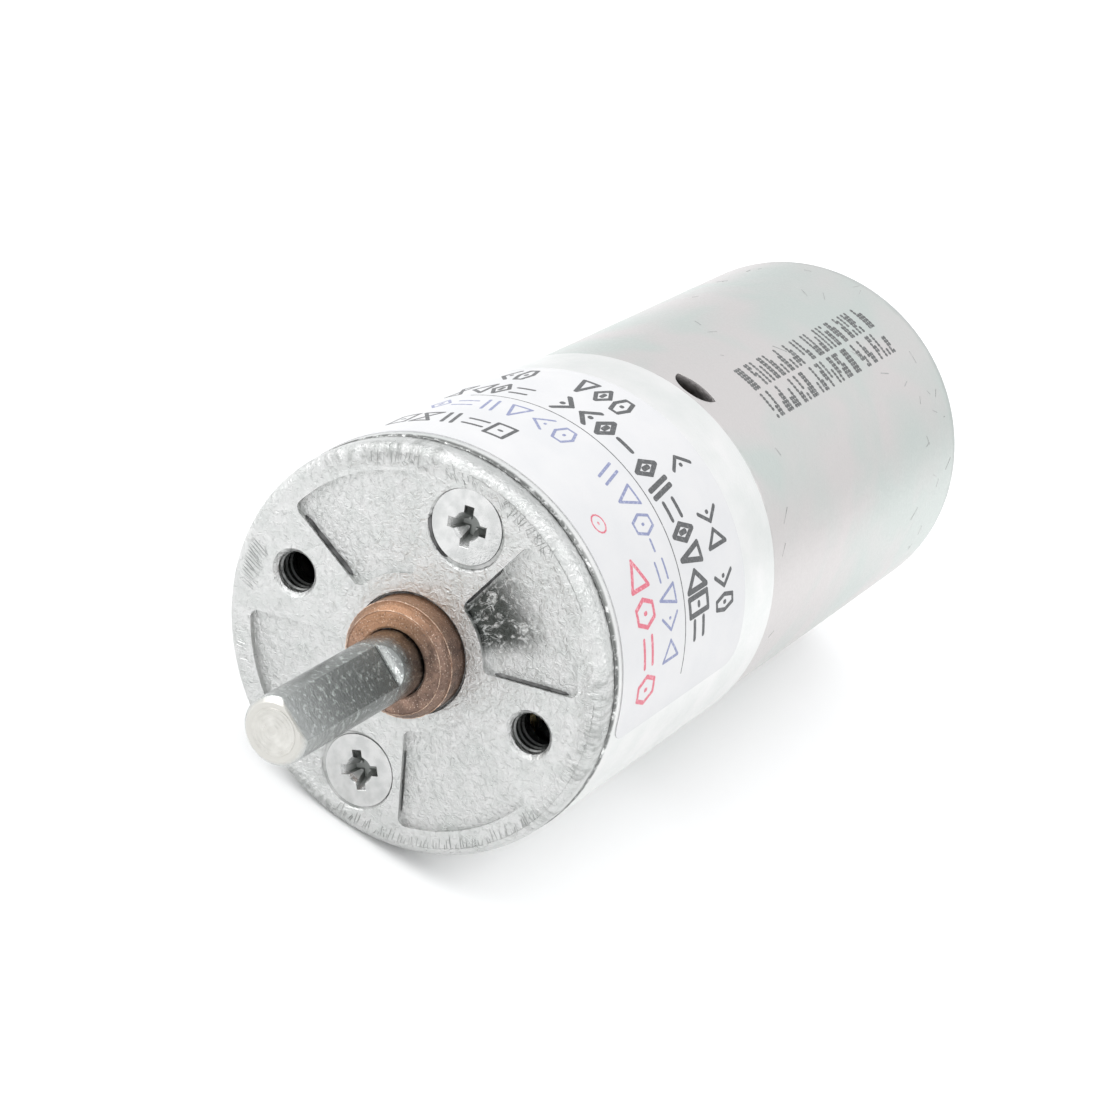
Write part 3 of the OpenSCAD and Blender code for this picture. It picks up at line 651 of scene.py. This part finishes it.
def label_print():
    """Three inks: abstract marks only, nothing that can be read."""
    chance = random.Random(11)
    red = bmesh.new()
    print_row(red, chance, 13.1, 54.6, 4.25, 6.25, 4, 0.27)
    ring_at = (math.radians(64.4) * INK_OUT, 4.6)
    ring_r = 0.58
    spots = [(ring_at[0] + ring_r * math.cos(WHOLE_TURN * k / 14),
              ring_at[1] + ring_r * math.sin(WHOLE_TURN * k / 14)) for k in range(15)]
    for a, b in zip(spots, spots[1:]):
        stroke(red, a, b, 0.11)
    stroke(red, ring_at, (ring_at[0] + 0.05, ring_at[1]), 0.16)
    new_piece("print_red", red, "red_ink")

    blue = bmesh.new()
    print_row(blue, chance, 21.4, 50.0, 7.2, 9.1, 4, 0.19)
    dash(blue, 51.0, 54.0, 8.1, 0.2)
    print_row(blue, chance, 55.6, 80.0, 7.2, 9.1, 3, 0.19)
    print_row(blue, chance, 88.0, 135.0, 7.2, 9.1, 6, 0.19)
    new_piece("print_blue", blue, "blue_ink")

    black = bmesh.new()
    dash(black, 14.5, 125.4, 10.05, 0.09)
    print_row(black, chance, 22.4, 75.5, 10.75, 13.1, 8, 0.34, fill=0.72)
    dash(black, 77.2, 82.0, 11.9, 0.38)
    print_row(black, chance, 84.5, 104.0, 10.75, 13.1, 3, 0.34, fill=0.72)
    print_row(black, chance, 111.4, 137.4, 10.7, 12.9, 4, 0.25)
    for first, last, count in ((25.2, 37.4, 2), (43.4, 55.4, 2), (66.4, 72.4, 1),
                               (88.2, 107.1, 3), (119.4, 131.4, 2)):
        print_row(black, chance, first, last, 14.35, 16.5, count, 0.27)
    print_row(black, chance, 99.4, 137.4, 3.7, 5.6, 5, 0.24)
    new_piece("print_black", black, "black_ink")


label_print()


def can_marking():
    """Two rows of ink-jet dots along the can, as bars of uneven length."""
    chance = random.Random(23)
    low, high = CAN_R / MM - 0.004, CAN_R / MM + 0.006
    dot, pitch, cell = 0.15, 0.28, 1.42
    build = bmesh.new()
    for first in CAN_ROWS:
        for k in range(CAN_CELLS):
            start = CAN_ROW_START + cell * k
            bars = chance.sample(range(4), 3)
            for column in bars:
                lowest, highest = chance.choice(((0, 6), (0, 6), (0, 4), (2, 6), (0, 2)))
                for row in range(lowest, highest + 1):
                    if chance.random() < 0.05:
                        continue
                    s = math.radians(first) * high + row * pitch
                    y = start + column * pitch
                    rings = []
                    for radius in (low, high):
                        rings.append([on_round(
                            radius, math.degrees((s + dot * math.cos(t)) / high),
                            y + dot * math.sin(t)) for t in around(8)])
                    loft(build, rings)
    new_piece("can_marking", build, "marking_ink")


can_marking()


def thread_in_hole(name, centre_x):
    """The turns of thread inside a tapped mounting hole."""
    root, crest, pitch, half = 1.28, 1.15, 0.5, 0.14
    front, back, steps = 0.38, 2.25, 32
    build = bmesh.new()
    turns = (back - front) / pitch
    rings = []
    for k in range(int(turns * steps) + 1):
        t = WHOLE_TURN * k / steps
        fade = min(1.0, k / 12, (turns * steps - k) / 12 + 0.02)
        y = front + pitch * k / steps
        ring = []
        for radius, shift in ((root, -half), (crest + (root - crest) * (1 - fade), -0.03),
                              (crest + (root - crest) * (1 - fade), 0.03), (root, half)):
            ring.append(Vector((centre_x + radius * math.cos(t), y + shift,
                                radius * math.sin(t))) * MM)
        rings.append(ring)
    loft(build, rings)
    new_piece(name, build, "thread_zinc")


thread_in_hole("thread_right", MOUNT_X / MM)
thread_in_hole("thread_left", -MOUNT_X / MM)


def shaft_end_rings():
    """The turned rings and the small centre dimple on the end of the shaft."""
    tip, widest, wave, lift = SHAFT_TIP / MM, 1.40, 0.27, 0.035
    build = bmesh.new()
    rings = []
    count = 56
    for k in range(count):
        radius = 0.03 + (widest - 0.03) * k / (count - 1)
        height = lift * (0.55 + 0.45 * math.sin(WHOLE_TURN * radius / wave))
        if radius < 0.22:
            height = -0.02 + 0.1 * radius
        if k == count - 1:
            height = -0.01
        off = 0.05 * (1 - radius / widest)
        rings.append([Vector((radius * math.cos(t) - off, tip - height,
                              radius * math.sin(t) + off)) * MM
                      for t in around(64)])
    loft(build, rings)
    new_piece("shaft_end_rings", build, "turned_end", body="output", smooth=True)


shaft_end_rings()


def ragged_ring(name, radius, depth, first, last, seed, thick, material):
    """A thin uneven burr that runs round an edge, thinning out and breaking up."""
    chance = random.Random(seed)
    build = bmesh.new()
    step = 0.5
    sizes = [chance.uniform(0.25, 1.0) for _ in range(int((last - first) / step) + 3)]
    rings = []
    for k in range(int((last - first) / step) + 1):
        size = thick * (sizes[k] + sizes[k + 1]) / 2
        if chance.random() < 0.06 or k == 0 or k == int((last - first) / step):
            size = thick * 0.1
        at = radius + chance.uniform(-0.02, 0.02)
        degrees = first + step * k
        rings.append([on_round(at + size * math.cos(t), degrees, depth + size * math.sin(t))
                      for t in around(6)])
    loft(build, rings)
    new_piece(name, build, material, smooth=True)


ragged_ring("rim_burr", RIM_LINE + 0.02, 0.0, 46, 96, 5, 0.045, "dull_zinc")
ragged_ring("rim_burr_low", RIM_LINE + 0.06, 0.0, -70, 20, 6, 0.028, "dull_zinc")
# The seam burr and the ring at the bush's foot are dark where parts meet: grime with painted
# shade
ragged_ring("seam_burr", CASE_R / MM - 0.09, SEAM, 0, 359.5, 7, 0.07, "grime_and_shade")
ragged_ring("bush_ridge_front", 3.10, BUSH_FRONT / MM + 0.01, 0, 359.5, 8, 0.035,
            "crumbled_bronze")
ragged_ring("bush_ridge_side", 3.49, BUSH_FRONT / MM + 0.65, 0, 359.5, 9, 0.05,
            "crumbled_bronze")
ragged_ring("bush_foot", 3.52, 0.25, 0, 359.5, 10, 0.08, "grime_and_shade")


def screw_seat(name, centre, first, last, front, material, seed):
    """A strip in the gap between a cover screw's head and its countersink, in the material
    given: metal, or dark painted shade.
    """
    chance = random.Random(seed)
    inner, outer, deep = 2.27, 2.50, 0.30
    build = bmesh.new()
    steps = round((last - first) / 3)
    rings = []
    for k in range(steps + 1):
        degrees = math.radians(first + (last - first) * k / steps)
        share = min(1.0, 0.3 + 0.35 * k, 0.3 + 0.35 * (steps - k))
        edge = inner + (outer - inner) * share * chance.uniform(0.8, 1.0)
        y = front + chance.uniform(0, 0.03)
        rings.append([Vector((centre[0] + radius * math.cos(degrees), depth,
                              centre[1] + radius * math.sin(degrees))) * MM
                      for radius, depth in ((inner, y), (edge, y), (edge - 0.04, deep),
                                            (inner, deep))])
    loft(build, rings)
    new_piece(name, build, material)


TOP_HEAD, LOW_HEAD = (-0.05, 8.90), (0.13, -8.61)
screw_seat("top_seat_rim", TOP_HEAD, -100, 182, 0.05, "dull_zinc", 51)
# A near-black arc of painted shade in the gap on one side of the top screw
screw_seat("top_seat_painted_shade", TOP_HEAD, 196, 262, -0.005, "painted_darkness", 52)
screw_seat("low_seat_rim", LOW_HEAD, 0, 357, 0.06, "dull_zinc", 53)


def can_scuffs():
    """Short raised scratches on the can, most of them near its rear edge."""
    chance = random.Random(47)
    build = bmesh.new()
    radius = CAN_R / MM
    for _ in range(SCUFFS):
        degrees = chance.uniform(-60, 250)
        y = chance.choice((chance.uniform(24.5, 52.5), chance.uniform(47.0, 53.0)))
        s = math.radians(degrees) * radius
        end = (s + chance.uniform(-0.9, 0.9), y + chance.uniform(-1.0, 1.0))
        stroke(build, (s, y), end, chance.uniform(0.03, 0.08), radius - 0.01, radius + 0.008)
    new_piece("can_scuffs", build, "dull_zinc")


can_scuffs()


def face_marks():
    """Raised marks near the rim of the mounting face, and dark lines of painted shade and
    reflection along pocket walls.
    """
    chance = random.Random(31)
    build = bmesh.new()

    def ridge(a, b, width, height):
        a, b = Vector(a), Vector(b)
        side = Vector((-(b - a).y, (b - a).x)).normalized() * width / 2
        rings = []
        for t, share in ((0, 0.15), (0.2, 0.9), (0.8, 1.0), (1, 0.15)):
            mid = a + (b - a) * t
            rings.append([Vector((mid.x + side.x * share, 0.01, mid.y + side.y * share)) * MM,
                          Vector((mid.x, -height * share, mid.y)) * MM,
                          Vector((mid.x - side.x * share, 0.01, mid.y - side.y * share)) * MM])
        loft(build, rings)

    def polar_point(radius, degrees):
        a = math.radians(degrees)
        return (radius * math.cos(a), radius * math.sin(a))

    for k in range(14):
        degrees = 178.0 + k * 1.05
        inner = 10.4 + chance.uniform(0, 0.6)
        ridge(polar_point(inner, degrees + 2.2), polar_point(RIM_LINE, degrees), 0.10, 0.04)
    for first, count in ((-154, 9), (-92, 56), (112, 12), (66, 14)):
        for k in range(count):
            degrees = first + k * 1.3 + chance.uniform(-0.5, 0.5)
            ridge(polar_point(11.0 + chance.uniform(0, 0.6), degrees + chance.uniform(0, 1.2)),
                  polar_point(RIM_LINE + 0.1, degrees), chance.uniform(0.05, 0.1), 0.035)
    for _ in range(SCREW_SCRATCHES):
        degrees, radius = chance.uniform(62, 118), chance.uniform(10.9, 11.6)
        ridge(polar_point(radius, degrees),
              polar_point(radius + chance.uniform(0.1, 0.4), degrees + chance.uniform(0.5, 2.2)),
              0.06, 0.025)
    new_piece("face_marks", build, "dull_zinc")

    # Near-black prisms along some pocket walls: painted shade and painted reflection lines
    walls = bmesh.new()
    floor_at, wall_gap = 0.30, 0.04
    for degrees, inner, outer, width in ((160, 5.6, 10.0, 0.17), (20, 5.4, 10.1, 0.14),
                                         (70, 4.9, 8.2, 0.12), (-20, 6.0, 9.5, 0.05),
                                         (-70, 6.2, 10.0, 0.05), (-160, 6.0, 9.6, 0.05)):
        middle = round(degrees / 90 - 0.5) * 90 + 45
        side = 1 if degrees < middle else -1
        normal = polar_point(1, degrees + 90 * side)
        steps = 12
        rings = []
        for k in range(steps + 1):
            radius = inner + (outer - inner) * k / steps
            size = width * (0.25 if k in (0, steps) else chance.uniform(0.7, 1.0))
            x, z = polar_point(radius, degrees)
            near, far = wall_gap, wall_gap + size
            rings.append([Vector((x + normal[0] * n, y, z + normal[1] * n)) * MM
                          for n, y in ((near, floor_at + 0.06), (near, floor_at - size),
                                       (far, floor_at + 0.06))])
        loft(walls, rings)
    new_piece("pocket_wall_shade_and_reflection", walls, "painted_darkness")


face_marks()


# ---------------------------------------------------------------- stage, lights, camera

def in_view_frame(v):
    """Turns a vector by the motor's roll, from upright view axes to the model's axes."""
    return Matrix.Rotation(-MOTOR_ROLL, 3, "Y") @ Vector(v)


VIEW_TURN = math.radians(27.88)      # how far the view is to the right of the shaft
VIEW_LIFT = math.radians(17.49)      # how far the view is above the shaft
MOTOR_ROLL = math.radians(25.4)      # how far the motor is rolled as the view sees it
VIEW_DISTANCE = 186.6 * MM
AIM_SHIFT = (8.0 * MM, 5.885 * MM)   # the picture's centre, right of and above the face's centre
LENS_MM = 106.95
SENSOR_MM = 36


def make_camera():
    back = Vector((math.sin(VIEW_TURN) * math.cos(VIEW_LIFT),
                   -math.cos(VIEW_TURN) * math.cos(VIEW_LIFT), math.sin(VIEW_LIFT)))
    right = Vector((math.cos(VIEW_TURN), math.sin(VIEW_TURN), 0))
    back, right = in_view_frame(back), in_view_frame(right)
    up = back.cross(right)
    data = bpy.data.cameras.new("camera")
    data.lens = LENS_MM
    data.sensor_width = SENSOR_MM
    data.clip_start = 0.005
    data.clip_end = 20
    camera = bpy.data.objects.new("camera", data)
    bpy.context.scene.collection.objects.link(camera)
    place = Matrix((right, up, back)).transposed().to_4x4()
    place.translation = back * VIEW_DISTANCE + right * AIM_SHIFT[0] + up * AIM_SHIFT[1]
    camera.matrix_world = place
    bpy.context.scene.camera = camera


def soft_light(name, toward, distance, size, power):
    """A square area light that shines on the motor from a direction in the view's axes."""
    data = bpy.data.lights.new(name, "AREA")
    data.size = size
    data.energy = power
    light = bpy.data.objects.new(name, data)
    bpy.context.scene.collection.objects.link(light)
    direction = in_view_frame(toward).normalized()
    middle = Vector((0, 20 * MM, 0))
    light.location = middle + direction * distance
    light.rotation_euler = direction.to_track_quat("Z", "Y").to_euler()


def make_floor():
    mesh = bpy.data.meshes.new("floor")
    build = bmesh.new()
    bmesh.ops.create_grid(build, x_segments=1, y_segments=1, size=3)
    build.to_mesh(mesh)
    build.free()
    floor = bpy.data.objects.new("floor", mesh)
    floor.location.z = FLOOR_Z
    bpy.context.scene.collection.objects.link(floor)
    s = Shader("floor_white", (0.93, 0.93, 0.93), roughness=0.7)
    s.color(s.mix(s.noise(0.02, detail=2.0), (0.93, 0.93, 0.93), (0.94, 0.94, 0.94)))
    mesh.materials.append(s.material)


def make_world():
    world = bpy.data.worlds.new("studio")
    bpy.context.scene.world = world
    world.use_nodes = True
    tree = world.node_tree
    background = tree.nodes["Background"]
    # A pale room: brightest overhead, a little dimmer toward the horizon
    coords = tree.nodes.new("ShaderNodeTexCoord")
    split = tree.nodes.new("ShaderNodeSeparateXYZ")
    ramp = tree.nodes.new("ShaderNodeValToRGB")
    ramp.color_ramp.elements[0].position = 0.0
    ramp.color_ramp.elements[0].color = (0.80, 0.82, 0.82, 1)
    ramp.color_ramp.elements[1].position = 0.55
    ramp.color_ramp.elements[1].color = (0.98, 0.99, 1.0, 1)
    tree.links.new(coords.outputs["Generated"], split.inputs[0])
    tree.links.new(split.outputs["Z"], ramp.inputs[0])
    tree.links.new(ramp.outputs[0], background.inputs["Color"])
    background.inputs["Strength"].default_value = 1.2


make_world()
make_floor()
soft_light("key_softbox", (-0.5, -0.5, 1.0), 0.5, 0.35, 1.2)
soft_light("side_softbox", (1.0, 0.1, 0.5), 0.5, 0.3, 0.6)
make_camera()
bpy.context.scene.view_settings.view_transform = "Standard"
